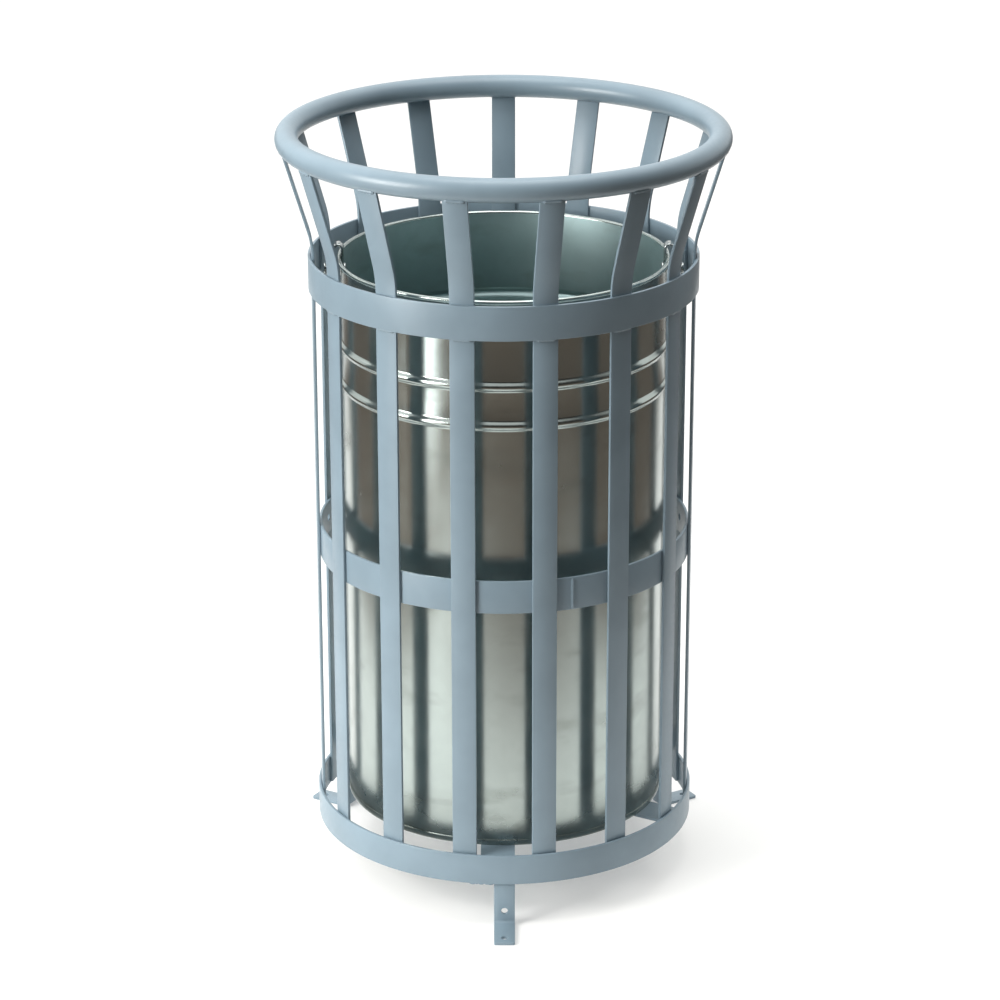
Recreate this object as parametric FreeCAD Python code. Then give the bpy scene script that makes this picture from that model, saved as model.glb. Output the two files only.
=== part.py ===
"""Slatted steel litter bin with a lift-out galvanised liner and a swing bail.

Millimetres.  +Z is up, the floor is z = 0 and the Z axis is the axis of the bin.
Azimuth 0 is the front (-Y) and grows towards +X.  Radial profiles are drawn in
the plane that faces the front and are then turned to their azimuth.
"""
import FreeCAD, Part
import math
import os

Vector = FreeCAD.Vector
ORIGIN = Vector(0, 0, 0)
UP = Vector(0, 0, 1)
SIDEWAYS = Vector(1, 0, 0)

# --- overall sizes ---------------------------------------------------------
overall_height = 800.0
band_outer_radius = 200.0
ring_overhang = 31.0
ring_outer_radius = band_outer_radius + ring_overhang

# --- flat bar and tube stock -----------------------------------------------
band_thickness = 3.0
slat_width = 25.0
slat_thickness = 3.0
bar_width = 35.0
bar_thickness = 3.0
foot_width = 21.5
foot_thickness = 3.0
ring_tube_diameter = 24.0
ring_tube_wall = 2.0
stock_edge_radius = 0.6

# --- cage ------------------------------------------------------------------
slat_count = 15
lower_band_height = 32.0
middle_band_height = 34.5
upper_band_height = 35.0
floor_clearance = 48.0
middle_band_level = 362.5
flare_length = 109.0
flare_angle = 16.7
flare_bend_radius = 100.0
slat_end_inset = 2.0
fixing_hole_diameter = 8.0
fixing_hole_azimuth = 102.0
vent_hole_diameter = 6.0
vent_hole_azimuth = 168.0

# --- feet ------------------------------------------------------------------
foot_azimuths = {"front": 0.0, "right": 120.0, "left": -120.0}
foot_projection = 42.0
foot_reach = band_outer_radius + foot_projection
foot_bend_radius = 3.0
foot_tip_corner_radius = 2.0
foot_hole_diameter = 7.0
foot_hole_edge_distance = 11.0
foot_hole_radius = foot_reach - foot_hole_edge_distance
leg_hole_level = 16.0
bar_level = 77.0

# --- liner -----------------------------------------------------------------
liner_clearance = 30.0
liner_outer_radius = band_outer_radius - band_thickness - liner_clearance
liner_height = 587.0
sheet_thickness = 0.8
rim_wire_diameter = 3.0
rim_curl_end_angle = -120.0
bead_depth = 3.0
bead_half_height = 6.0
bead_levels_below_rim = (89.5, 130.0)
base_recess = 9.0
hem_height = 6.0

# --- ears, pins and bail ---------------------------------------------------
ear_width = 14.0
ear_thickness = 2.5
ear_rise_above_rim = 12.0
ear_clearance = 1.2
pin_level_below_rim = 15.0
pin_diameter = 6.0
pin_head_diameter = 11.0
pin_head_thickness = 2.0
bail_wire_diameter = 4.5
bail_clearance = 0.5
bail_eye_clearance = 0.3
bail_rest_gap = 0.3

# --- sizes that follow from the ones above ---------------------------------
band_inner_radius = band_outer_radius - band_thickness


def chord_face(radius, width, ease):
    """Distance from the axis to a flat whose two eased edges touch a cylinder."""
    return ease + math.sqrt((radius - ease) ** 2 - (width / 2 - ease) ** 2)


slat_outer_face = chord_face(band_inner_radius, slat_width, stock_edge_radius)
slat_inner_face = slat_outer_face - slat_thickness
slat_pitch = 360.0 / slat_count
ring_tube_radius = ring_tube_diameter / 2
ring_radius = ring_outer_radius - ring_tube_radius
ring_level = overall_height - ring_tube_radius
flare_start = overall_height - ring_tube_diameter - flare_length
upper_band_bottom = flare_start - upper_band_height
middle_band_bottom = middle_band_level - middle_band_height / 2
middle_band_radius = slat_inner_face
leg_outer_face = chord_face(band_inner_radius, foot_width, 0)
bar_bottom = bar_level - bar_thickness
bar_offset = (bar_width - foot_width) / 2
liner_bottom = bar_level
liner_inner_radius = liner_outer_radius - sheet_thickness
rim_level = liner_bottom + liner_height
rim_wire_radius = rim_wire_diameter / 2
rim_curl_radius = rim_wire_radius + sheet_thickness
rim_centre_radius = liner_inner_radius + rim_curl_radius
rim_centre_level = rim_level - rim_curl_radius
rim_outer_radius = rim_centre_radius + rim_curl_radius
ear_inner_plane = chord_face(liner_inner_radius, ear_width, 0)
ear_outer_plane = rim_outer_radius + ear_clearance
pin_level = rim_level - pin_level_below_rim
pin_radius = pin_diameter / 2
bail_wire_radius = bail_wire_diameter / 2
ear_reach_above_pin = pin_level_below_rim + ear_rise_above_rim
bail_inside_at_ear_top = ear_outer_plane + ear_thickness + bail_clearance
bail_inner_radius = math.hypot(bail_inside_at_ear_top, ear_reach_above_pin)
bail_radius = bail_inner_radius + bail_wire_radius
bail_eye_radius = pin_radius + bail_eye_clearance + bail_wire_radius
pin_outer_end = bail_radius + bail_wire_radius + bail_clearance
bail_rest_reach = liner_outer_radius + bail_wire_radius + bail_rest_gap
bail_rest_angle = math.degrees(math.acos(bail_rest_reach / bail_radius))


# --- drawing helpers -------------------------------------------------------
def at(radius, height):
    """A point of the radial plane that faces the front."""
    return Vector(0, -radius, height)


def polar(radius, height, centre_radius, centre_height, angle):
    """The point at an angle round a centre in the radial plane."""
    turn = math.radians(angle)
    return at(centre_radius + radius * math.cos(turn), centre_height + radius * math.sin(turn))


def line(start, end):
    return Part.LineSegment(start, end).toShape()


def arc(start, middle, end):
    return Part.Arc(start, middle, end).toShape()


def arc_round(radius, centre_radius, centre_height, first, last):
    """An arc of the radial plane round a centre, from one angle to another."""
    ends = [first, (first + last) / 2, last]
    points = [polar(radius, 0, centre_radius, centre_height, angle) for angle in ends]
    return arc(*points)


def face_of(edges):
    return Part.Face(Part.Wire(edges))


def revolved(edges):
    return face_of(edges).revolve(ORIGIN, UP, 360)


def extruded(edges, width):
    """A radial outline given a width, centred on the radial plane."""
    solid = face_of(edges).extrude(Vector(width, 0, 0))
    solid.translate(Vector(-width / 2, 0, 0))
    return solid


def turned(shape, azimuth):
    copy = shape.copy()
    copy.rotate(ORIGIN, UP, azimuth)
    return copy


def radial_cylinder(radius, first, last, height):
    """A cylinder along the front radius, between two distances from the axis."""
    return Part.makeCylinder(radius, last - first, at(first, height), Vector(0, -1, 0))


def largest(shape):
    return max(shape.Solids, key=lambda solid: solid.Volume)


def save(node, shape):
    shape.exportStep("parts/" + node + ".step")


# --- cage ------------------------------------------------------------------
def band(outer_radius, bottom, height):
    """A hoop of flat bar with its four edges eased."""
    inner = outer_radius - band_thickness
    top = bottom + height
    ease = stock_edge_radius
    edges = [
        line(at(inner + ease, bottom), at(outer_radius - ease, bottom)),
        arc_round(ease, outer_radius - ease, bottom + ease, -90, 0),
        line(at(outer_radius, bottom + ease), at(outer_radius, top - ease)),
        arc_round(ease, outer_radius - ease, top - ease, 0, 90),
        line(at(outer_radius - ease, top), at(inner + ease, top)),
        arc_round(ease, inner + ease, top - ease, 90, 180),
        line(at(inner, top - ease), at(inner, bottom + ease)),
        arc_round(ease, inner + ease, bottom + ease, 180, 270),
    ]
    return revolved(edges)


def middle_band():
    """The hoop inside the slats, with one fixing hole on each side."""
    hoop = band(middle_band_radius, middle_band_bottom, middle_band_height)
    first = middle_band_radius - 2 * band_thickness
    last = middle_band_radius + band_thickness
    hole = radial_cylinder(fixing_hole_diameter / 2, first, last, middle_band_level)
    for azimuth in (-fixing_hole_azimuth, fixing_hole_azimuth):
        hoop = hoop.cut(turned(hole, azimuth))
    return hoop


def ring_envelope():
    return Part.makeTorus(ring_radius, ring_tube_radius, Vector(0, 0, ring_level), UP)


def top_ring():
    """The rolled tube, hollow, with a vent hole drilled in its underside."""
    bore = ring_tube_radius - ring_tube_wall
    hollow = Part.makeTorus(ring_radius, bore, Vector(0, 0, ring_level), UP)
    vent_foot = at(ring_radius, ring_level - ring_tube_diameter)
    vent = Part.makeCylinder(vent_hole_diameter / 2, ring_tube_diameter, vent_foot, UP)
    tube = ring_envelope().cut(hollow)
    return tube.cut(turned(vent, vent_hole_azimuth))


def eased_along(solid, shortest):
    """Eases the edges that run along a strip, which are its longest ones."""
    long_edges = [edge for edge in solid.Edges if edge.Length > shortest]
    return solid.makeFillet(stock_edge_radius, long_edges)


def slat():
    """A flat bar, upright to the top band and then bent out to the ring."""
    bottom = floor_clearance + slat_end_inset
    face = slat_outer_face
    inner = slat_inner_face
    centre = face + flare_bend_radius
    outer_bend = flare_bend_radius
    inner_bend = flare_bend_radius + slat_thickness
    turn_end = 180 - flare_angle
    slope = math.radians(flare_angle)
    bend_end = polar(outer_bend, 0, centre, flare_start, turn_end)
    run = (ring_level - bend_end.z) / math.cos(slope)
    along = Vector(0, -math.sin(slope) * run, math.cos(slope) * run)
    inner_bend_end = polar(inner_bend, 0, centre, flare_start, turn_end)
    edges = [
        line(at(inner, bottom), at(face, bottom)),
        line(at(face, bottom), at(face, flare_start)),
        arc_round(outer_bend, centre, flare_start, 180, turn_end),
        line(bend_end, bend_end + along),
        line(bend_end + along, inner_bend_end + along),
        line(inner_bend_end + along, inner_bend_end),
        arc_round(inner_bend, centre, flare_start, turn_end, 180),
        line(at(inner, flare_start), at(inner, bottom)),
    ]
    strip = eased_along(extruded(edges, slat_width), slat_width + 1)
    return largest(strip.cut(ring_envelope()))


def slat_azimuth(number):
    """Slats stand half a pitch to each side of the front, counted towards +X."""
    return (number - 0.5) * slat_pitch


# --- base and feet ---------------------------------------------------------
def all_slats():
    upright = slat()
    azimuths = [slat_azimuth(number) for number in range(1, slat_count + 1)]
    return Part.makeCompound([turned(upright, azimuth) for azimuth in azimuths])


def base_bar(foot_azimuth, slats):
    """A bar across the bin: one end at a foot, the other against a slat.

    A corner of the bar that would run into a slat is notched to clear it.
    """
    length = band_inner_radius + slat_inner_face
    corner = Vector(-bar_offset - bar_width / 2, -band_inner_radius, bar_bottom)
    bar = Part.makeBox(bar_width, length, bar_thickness, corner)
    bore = Part.makeCylinder(band_inner_radius, bar_thickness, Vector(0, 0, bar_bottom))
    notched = turned(bar.common(bore), foot_azimuth).cut(slats)
    return largest(notched.removeSplitter())


def half_towards(azimuth):
    """Everything on one side of the bin, facing an azimuth."""
    reach = 2 * band_outer_radius
    corner = Vector(-reach / 2, -reach / 2, bar_bottom)
    return turned(Part.makeBox(reach, reach / 2, bar_thickness, corner), azimuth)


def base_pieces():
    """One whole bar and three arms, each arm cut to butt on its neighbours."""
    slats = all_slats()
    whole = base_bar(foot_azimuths["front"], slats)
    right = base_bar(foot_azimuths["right"], slats).cut(whole)
    left = base_bar(foot_azimuths["left"], slats).cut(whole)
    right_side = half_towards(90)
    back_right = largest(right.common(right_side))
    back_left = largest(left.common(half_towards(-90)))
    front_right = largest(left.common(right_side).cut(back_right))
    return {
        "base_bar": whole,
        "base_arm_back_right": back_right,
        "base_arm_back_left": back_left,
        "base_arm_front_right": front_right,
    }


def foot():
    """A strip inside the lower band, bent out flat on the floor and drilled."""
    face = leg_outer_face
    inner = face - foot_thickness
    bend_centre = face + foot_bend_radius
    bend_level = foot_thickness + foot_bend_radius
    outer_bend = foot_bend_radius + foot_thickness
    edges = [
        line(at(inner, bar_bottom), at(inner, bend_level)),
        arc_round(outer_bend, bend_centre, bend_level, 180, 270),
        line(at(bend_centre, 0), at(foot_reach, 0)),
        line(at(foot_reach, 0), at(foot_reach, foot_thickness)),
        line(at(foot_reach, foot_thickness), at(bend_centre, foot_thickness)),
        arc_round(foot_bend_radius, bend_centre, bend_level, 270, 180),
        line(at(face, bend_level), at(face, bar_bottom)),
        line(at(face, bar_bottom), at(inner, bar_bottom)),
    ]
    strip = extruded(edges, foot_width)
    tip_edges = [edge for edge in strip.Edges if is_tip_corner(edge)]
    strip = strip.makeFillet(foot_tip_corner_radius, tip_edges)
    hole = foot_hole_diameter / 2
    plate_hole = Part.makeCylinder(hole, foot_thickness, at(foot_hole_radius, 0), UP)
    leg_hole = radial_cylinder(hole, inner, face, leg_hole_level)
    return strip.cut(plate_hole).cut(leg_hole)


def is_tip_corner(edge):
    """Whether an edge is one of the two short upright ones at a foot's tip."""
    box = edge.BoundBox
    upright = box.ZLength > 0.9 * foot_thickness
    return upright and abs(box.YMin + foot_reach) < 0.01 and box.YLength < 0.01


# --- liner -----------------------------------------------------------------
def bead_edges(face_radius, offset, level):
    """One rolled bead in a wall face: a fillet, a crown and a fillet.

    offset is 0 on the outer face and minus the sheet thickness on the inner one.
    """
    reach = (bead_half_height ** 2 + bead_depth ** 2) / (2 * bead_depth)
    crown = reach / 2 + offset
    fillet = reach / 2 - offset
    slope = math.degrees(math.atan2(bead_half_height, reach - bead_depth))
    low = level - bead_half_height
    high = level + bead_half_height
    crown_centre = face_radius + bead_depth - crown
    return [
        arc_round(fillet, face_radius + fillet, low, 180, 180 - slope),
        arc_round(crown, crown_centre, level, -slope, slope),
        arc_round(fillet, face_radius + fillet, high, 180 + slope, 180),
    ]


def wall_face_edges(face_radius, offset, bottom, top, upward):
    """One face of the wall between two levels, with its beads."""
    levels = sorted(rim_level - below for below in bead_levels_below_rim)
    edges = []
    height = bottom
    for level in levels:
        edges.append(line(at(face_radius, height), at(face_radius, level - bead_half_height)))
        edges.extend(bead_edges(face_radius, offset, level))
        height = level + bead_half_height
    edges.append(line(at(face_radius, height), at(face_radius, top)))
    if upward:
        return edges
    return [flipped(edge) for edge in reversed(edges)]


def flipped(edge):
    """The same edge drawn the other way."""
    start = edge.valueAt(edge.FirstParameter)
    end = edge.valueAt(edge.LastParameter)
    if isinstance(edge.Curve, Part.Line):
        return line(end, start)
    middle = edge.valueAt((edge.FirstParameter + edge.LastParameter) / 2)
    return arc(end, middle, start)


def liner_wall():
    """The rolled sheet: straight wall, two beads and a curl round the rim wire."""
    bottom = liner_bottom + sheet_thickness
    centre = rim_centre_radius
    level = rim_centre_level
    curl_tip = polar(rim_curl_radius, 0, centre, level, rim_curl_end_angle)
    wire_tip = polar(rim_wire_radius, 0, centre, level, rim_curl_end_angle)
    edges = wall_face_edges(liner_inner_radius, -sheet_thickness, bottom, level, True)
    edges.append(arc_round(rim_curl_radius, centre, level, 180, rim_curl_end_angle))
    edges.append(line(curl_tip, wire_tip))
    edges.append(arc_round(rim_wire_radius, centre, level, rim_curl_end_angle, 180))
    edges.extend(wall_face_edges(liner_outer_radius, 0, bottom, level, False))
    edges.append(line(at(liner_outer_radius, bottom), at(liner_inner_radius, bottom)))
    wall = revolved(edges)
    return wall.cut(both_sides(pin_shank()))


def rim_wire():
    return Part.makeTorus(rim_centre_radius, rim_wire_radius, Vector(0, 0, rim_centre_level), UP)


def liner_base():
    """The pressed floor: a raised disc whose flange is hemmed over the wall's edge."""
    bottom = liner_bottom
    sheet = sheet_thickness
    disc_top = bottom + base_recess
    inner = liner_inner_radius - sheet
    outer = liner_outer_radius + sheet
    outline = [
        at(0, disc_top - sheet),
        at(inner, disc_top - sheet),
        at(inner, bottom),
        at(outer, bottom),
        at(outer, bottom + hem_height),
        at(liner_outer_radius, bottom + hem_height),
        at(liner_outer_radius, bottom + sheet),
        at(liner_inner_radius, bottom + sheet),
        at(liner_inner_radius, disc_top),
        at(0, disc_top),
    ]
    ends = outline[1:] + outline[:1]
    return revolved([line(start, end) for start, end in zip(outline, ends)])


# --- ears, pins and bail ---------------------------------------------------
def ear():
    """A strap folded over the rim, with both legs drilled for the pin."""
    inside = ear_inner_plane
    outside = ear_outer_plane
    fold_radius = (outside - inside) / 2
    fold_centre = inside + fold_radius
    fold_level = rim_level + ear_rise_above_rim - fold_radius - ear_thickness
    foot_level = pin_level - ear_width / 2
    outer_fold = fold_radius + ear_thickness
    edges = [
        line(at(inside - ear_thickness, foot_level), at(inside - ear_thickness, fold_level)),
        arc_round(outer_fold, fold_centre, fold_level, 180, 0),
        line(at(outside + ear_thickness, fold_level), at(outside + ear_thickness, foot_level)),
        line(at(outside + ear_thickness, foot_level), at(outside, foot_level)),
        line(at(outside, foot_level), at(outside, fold_level)),
        arc_round(fold_radius, fold_centre, fold_level, 0, 180),
        line(at(inside, fold_level), at(inside, foot_level)),
        line(at(inside, foot_level), at(inside - ear_thickness, foot_level)),
    ]
    strap = extruded(edges, ear_width)
    first = inside - 2 * ear_thickness
    last = outside + 2 * ear_thickness
    rounded = radial_cylinder(ear_width / 2, first, last, pin_level)
    above = Part.makeBox(ear_width, last - first, ear_width * 3)
    above.translate(Vector(-ear_width / 2, -last, pin_level))
    strap = strap.common(rounded.fuse(above))
    return strap.cut(pin_shank())


def pin_shank():
    """The pin's straight part, from inside the inner leg to past the bail's eye."""
    first = ear_inner_plane - ear_thickness
    return radial_cylinder(pin_radius, first, pin_outer_end, pin_level)


def pin():
    """A headed pin: through the ear and the wall, and out through the bail's eye."""
    head_radius = pin_head_diameter / 2
    first = ear_inner_plane - ear_thickness
    inner_head = radial_cylinder(head_radius, first - pin_head_thickness, first, pin_level)
    outer_last = pin_outer_end + pin_head_thickness
    outer_head = radial_cylinder(head_radius, pin_outer_end, outer_last, pin_level)
    return pin_shank().fuse(inner_head).fuse(outer_head).removeSplitter()


def both_sides(shape):
    return turned(shape, 90).fuse(turned(shape, -90))


def bail():
    """A half hoop of wire with an eye at each end, folded back against the wall."""
    hinge = Vector(0, 0, pin_level)
    gap = math.degrees(math.asin(bail_eye_radius / bail_radius))
    hoop = Part.makeTorus(bail_radius, bail_wire_radius, ORIGIN, UP, 0, 360, 180 - 2 * gap)
    hoop.rotate(ORIGIN, UP, gap)
    shape = hoop
    for side in (-1, 1):
        centre = Vector(side * bail_radius, 0, 0)
        shape = shape.fuse(Part.makeTorus(bail_eye_radius, bail_wire_radius, centre, SIDEWAYS))
    shape.rotate(ORIGIN, SIDEWAYS, -bail_rest_angle)
    shape.translate(hinge)
    return shape


# --- the assembly ----------------------------------------------------------
def build():
    os.makedirs("parts", exist_ok=True)
    save("top_ring", top_ring())
    save("upper_band", band(band_outer_radius, upper_band_bottom, upper_band_height))
    save("middle_band", middle_band())
    save("lower_band", band(band_outer_radius, floor_clearance, lower_band_height))
    upright = slat()
    for number in range(1, slat_count + 1):
        save("slat_%02d" % number, turned(upright, slat_azimuth(number)))
    for node, shape in base_pieces().items():
        save(node, shape)
    front_foot = foot()
    for side, azimuth in foot_azimuths.items():
        save("foot_" + side, turned(front_foot, azimuth))
    save("liner_wall", liner_wall())
    save("liner_rim_wire", rim_wire())
    save("liner_base", liner_base())
    for side, azimuth in (("right", 90), ("left", -90)):
        save("liner_ear_" + side, turned(ear(), azimuth))
        save("liner_pin_" + side, turned(pin(), azimuth))
    save("bail", bail())


build()
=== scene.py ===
"""The finished look of a slatted steel litter bin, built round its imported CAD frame.

Metres.  +Z is up, the floor is z = 0 and the Z axis is the axis of the bin.
Azimuth 0 is the front (-Y) and grows towards +X.  Each piece is drawn facing the
front and is then turned about the axis to its azimuth.
"""
import math

import bmesh
import bpy
from bpy.props import FloatProperty, IntProperty, PointerProperty, StringProperty
from mathutils import Matrix, Vector


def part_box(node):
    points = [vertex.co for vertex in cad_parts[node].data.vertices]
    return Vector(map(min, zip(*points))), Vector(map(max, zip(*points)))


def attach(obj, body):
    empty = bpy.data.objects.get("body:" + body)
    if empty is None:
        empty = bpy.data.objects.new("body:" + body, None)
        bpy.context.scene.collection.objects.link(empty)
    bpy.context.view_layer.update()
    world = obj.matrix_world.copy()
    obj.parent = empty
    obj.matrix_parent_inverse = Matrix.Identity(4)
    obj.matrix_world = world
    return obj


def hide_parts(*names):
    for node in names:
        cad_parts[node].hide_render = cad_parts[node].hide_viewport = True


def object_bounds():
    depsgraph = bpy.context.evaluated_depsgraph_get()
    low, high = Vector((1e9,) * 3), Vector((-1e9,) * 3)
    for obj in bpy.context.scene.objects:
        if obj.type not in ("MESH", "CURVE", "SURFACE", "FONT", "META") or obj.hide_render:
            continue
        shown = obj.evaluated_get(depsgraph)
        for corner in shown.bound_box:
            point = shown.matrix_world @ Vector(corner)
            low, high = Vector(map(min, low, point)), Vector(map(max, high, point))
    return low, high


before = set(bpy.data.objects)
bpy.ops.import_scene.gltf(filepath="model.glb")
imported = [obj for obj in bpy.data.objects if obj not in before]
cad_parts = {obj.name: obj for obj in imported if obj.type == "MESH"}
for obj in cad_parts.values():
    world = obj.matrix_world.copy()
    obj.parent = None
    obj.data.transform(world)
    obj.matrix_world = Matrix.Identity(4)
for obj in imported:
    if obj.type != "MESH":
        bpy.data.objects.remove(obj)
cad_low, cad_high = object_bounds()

bl_info = {
    "name": "Slatted litter bin",
    "version": (1, 0, 0),
    "blender": (4, 5, 0),
    "location": "View3D > Sidebar > Litter bin",
    "description": "Builds a slatted steel litter bin with a galvanised liner",
    "category": "Object",
}

MM = 0.001
UP = Vector((0, 0, 1))
SIDEWAYS = Vector((1, 0, 0))
OUTWARD = Vector((0, -1, 0))
FULL_TURN = 2 * math.pi
SHARP_ANGLE = math.radians(32)
MERGE_DISTANCE = 1e-7
SAME_PLACE = 1e-6

# facets round the axis, and round the ring's tube and the bail's wire
HOOP_STEPS = 240
SHEET_STEPS = 256
TUBE_STEPS = 40
WIRE_STEPS = 20

# a weld bead: its facets, its puddles, and how it tapers and ripples
WELD_SEGMENTS = 8
WELD_PUDDLES = 9
WELD_END_SIZE = 0.45
WELD_RIPPLE = 0.12
WELD_RIPPLE_TURN = 2.7

# runs of coating on the lower band: (degrees from the front, radius in millimetres)
COATING_RUNS = ((-9.5, 2.2), (-8.3, 1.6), (-6.9, 1.9), (-5.2, 1.7), (-4.2, 2.1))
COATING_RUN_SHAPE = (1.7, 0.8, 0.7, 1.0)


# --- sizes and colours that a user would change ----------------------------
def length(name, description, millimetres):
    return FloatProperty(
        name=name, description=description, default=millimetres * MM, min=0.0,
        unit="LENGTH", precision=5)


def angle(name, description, degrees):
    return FloatProperty(
        name=name, description=description, default=math.radians(degrees), subtype="ANGLE")


def colour(name, description, code):
    return StringProperty(
        name=name, description=description + ", as an sRGB hex value", default=code)


def power(name, description, watts):
    return FloatProperty(
        name=name, description=description + ", in watts", default=watts, min=0.0, unit="POWER")


class CageSizes(bpy.types.PropertyGroup):
    slat_count: IntProperty(name="Slats", description="Number of upright slats", default=15, min=3)
    bar_thickness: length("Bar thickness", "Thickness of the slats, bands and feet", 3.0)
    slat_width: length("Slat width", "Width of a slat", 25.0)
    foot_width: length("Foot width", "Width of a foot strip", 21.5)
    edge_radius: length("Edge radius", "Eased edge of the rolled flat bar", 0.6)
    flare_angle: angle("Flare angle", "How far the slats lean outwards below the ring", 16.7)
    flare_bend_radius: length("Flare bend radius", "Outside radius of the bend in a slat", 100.0)
    foot_bend_radius: length("Foot bend radius", "Inside radius of the bend in a foot", 3.0)
    foot_tip_radius: length("Foot tip radius", "Rounded corner at the tip of a foot", 2.0)
    foot_hole_radius: length("Foot hole radius", "Radius of the two holes in a foot", 3.5)
    foot_hole_reach: length("Foot hole reach", "Distance of the plate hole from the axis", 231.0)
    leg_hole_level: length("Leg hole level", "Height of the hole in the upright part", 16.0)
    fixing_hole_radius: length("Fixing hole radius", "Radius of the holes in the middle band", 4.0)
    fixing_hole_azimuth: angle("Fixing hole azimuth", "Where the middle band is drilled", 102.0)
    vent_hole_radius: length("Vent hole radius", "Radius of the hole under the ring", 3.0)
    vent_hole_azimuth: angle("Vent hole azimuth", "Where the ring is drilled", 168.0)
    weld_radius: length("Weld radius", "Half the width of a weld bead", 2.0)
    seam_azimuth: angle("Seam azimuth", "Where the ends of the middle band are welded", 20.8)


class LinerSizes(bpy.types.PropertyGroup):
    sheet_thickness: length("Sheet thickness", "Thickness of the galvanised sheet", 0.8)
    wall_radius: length("Wall radius", "Outside radius of the liner's wall", 167.0)
    curl_radius: length("Curl radius", "Outside radius of the curl round the rim wire", 2.3)
    curl_end: angle("Curl end", "Angle at which the curl stops, from straight out", -120.0)
    bead_depth: length("Bead depth", "How far a rolled bead stands out", 3.0)
    bead_half_height: length("Bead half height", "Half the height of a rolled bead", 6.0)
    upper_bead_drop: length("Upper bead drop", "Upper bead below the rim", 89.5)
    lower_bead_drop: length("Lower bead drop", "Lower bead below the rim", 130.0)
    hem_height: length("Hem height", "Height of the folded hem at the foot of the wall", 6.0)
    seam_width: length("Seam width", "Width of the lapped seam at the back", 9.0)
    ear_width: length("Ear width", "Width of the strap that carries the bail", 14.0)
    ear_thickness: length("Ear thickness", "Thickness of the strap", 2.5)
    pin_radius: length("Pin radius", "Radius of the pin's shank", 3.0)
    pin_head_radius: length("Pin head radius", "Radius of the pin's heads", 5.5)
    pin_head_thickness: length("Pin head thickness", "Thickness of a head", 2.0)
    pin_drop: length("Pin drop", "Pin below the rim", 15.0)
    bail_wire_radius: length("Bail wire radius", "Radius of the bail's wire", 2.25)
    bail_eye_clearance: length("Bail eye clearance", "Play between the eye and the pin", 0.3)


class FinishColours(bpy.types.PropertyGroup):
    coat: colour("Powder coat", "Blue-grey of the coated steel", "#7C8F9B")
    zinc: colour("Galvanised sheet", "Zinc on the liner", "#AEB8B5")
    inside: colour("Inside of the liner", "Zinc dulled by use inside the liner", "#A8BEBF")
    tarnish: colour("Zinc tarnish", "Dull patches on the zinc", "#6E736C")
    wire: colour("Plated wire", "Bright zinc plate on the small parts", "#B4BAB9")
    paper: colour("Floor", "White paper that the bin stands on", "#D6D6D4")
    surround: colour("Surround", "Warm grey studio floor in front of the paper", "#62574F")


class StudioSettings(bpy.types.PropertyGroup):
    camera_distance: length("Camera distance", "Camera in front of the axis of the bin", 3320.45)
    camera_height: length("Camera height", "Camera above the floor", 1605.67)
    camera_pitch: angle("Camera pitch", "How far the camera looks down", 20.016)
    camera_yaw: angle("Camera yaw", "How far the camera is turned towards +X", -0.072)
    camera_roll: angle("Camera roll", "How far the camera is tipped", -0.096)
    focal_length: FloatProperty(
        name="Focal length", description="Lens, in millimetres, on a 36 mm sensor",
        default=121.3, min=1.0, unit="CAMERA")
    key_strength: power("Key light", "Power of the front left softbox", 66.0)
    card_strength: power("Card", "Power off the low white card", 2.0)
    top_strength: power("Top light", "Power of the overhead softbox", 20.0)
    back_strength: FloatProperty(
        name="Back light", description="Strength of the back left light", default=1.85, min=0.0)


# --- mesh helpers ----------------------------------------------------------
def polar(centre_radius, centre_height, radius, turn):
    """(distance from the axis, height) of a point at an angle round a centre."""
    return centre_radius + radius * math.cos(turn), centre_height + radius * math.sin(turn)


def outline(bm, points):
    """Joins (distance from the axis, height) points with edges in the front plane."""
    verts = [bm.verts.new((0, -radius, height)) for radius, height in points]
    edges = [bm.edges.new(pair) for pair in zip(verts, verts[1:])]
    return verts + edges


def spin_round(bm, geometry, steps, axis=UP, centre=(0, 0, 0)):
    """A full turn of a profile about an axis."""
    bmesh.ops.spin(
        bm, geom=geometry, cent=centre, axis=axis, angle=FULL_TURN, steps=steps, use_merge=True)
    bmesh.ops.remove_doubles(bm, verts=bm.verts, dist=MERGE_DISTANCE)
    bmesh.ops.recalc_face_normals(bm, faces=bm.faces)


def section(bm, width, inner, outer, height):
    """A rectangular face of a strip that faces the front, lying level."""
    half = width / 2
    corners = [(-half, -outer), (half, -outer), (half, -inner), (-half, -inner)]
    return bm.faces.new([bm.verts.new((x, y, height)) for x, y in corners])


def run_on(bm, face, step):
    """Pushes the end face of a strip straight on and returns the new end face."""
    made = bmesh.ops.extrude_face_region(bm, geom=[face])["geom"]
    end = next(item for item in made if isinstance(item, bmesh.types.BMFace))
    bmesh.ops.translate(bm, verts=end.verts, vec=step)
    if face.is_valid:
        bm.faces.remove(face)
    return end


def bend_on(bm, face, centre, turn, steps, axis=SIDEWAYS):
    """Bends the end face of a strip round a centre and returns the new end face."""
    for _ in range(steps):
        made = bmesh.ops.extrude_face_region(bm, geom=[face])["geom"]
        end = next(item for item in made if isinstance(item, bmesh.types.BMFace))
        rotation = Matrix.Rotation(turn / steps, 3, axis)
        bmesh.ops.rotate(bm, cent=centre, matrix=rotation, verts=end.verts)
        if face.is_valid:
            bm.faces.remove(face)
        face = end
    return face


def sharp_edges(bm, limit=math.radians(50)):
    return [
        edge for edge in bm.edges if len(edge.link_faces) == 2 and edge.calc_face_angle() > limit]


def ease_edges(bm, edges, radius, segments=2):
    bmesh.ops.bevel(
        bm, geom=edges, offset=radius, offset_type="OFFSET", segments=segments, profile=0.5,
        affect="EDGES", clamp_overlap=True, material=-1)


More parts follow.
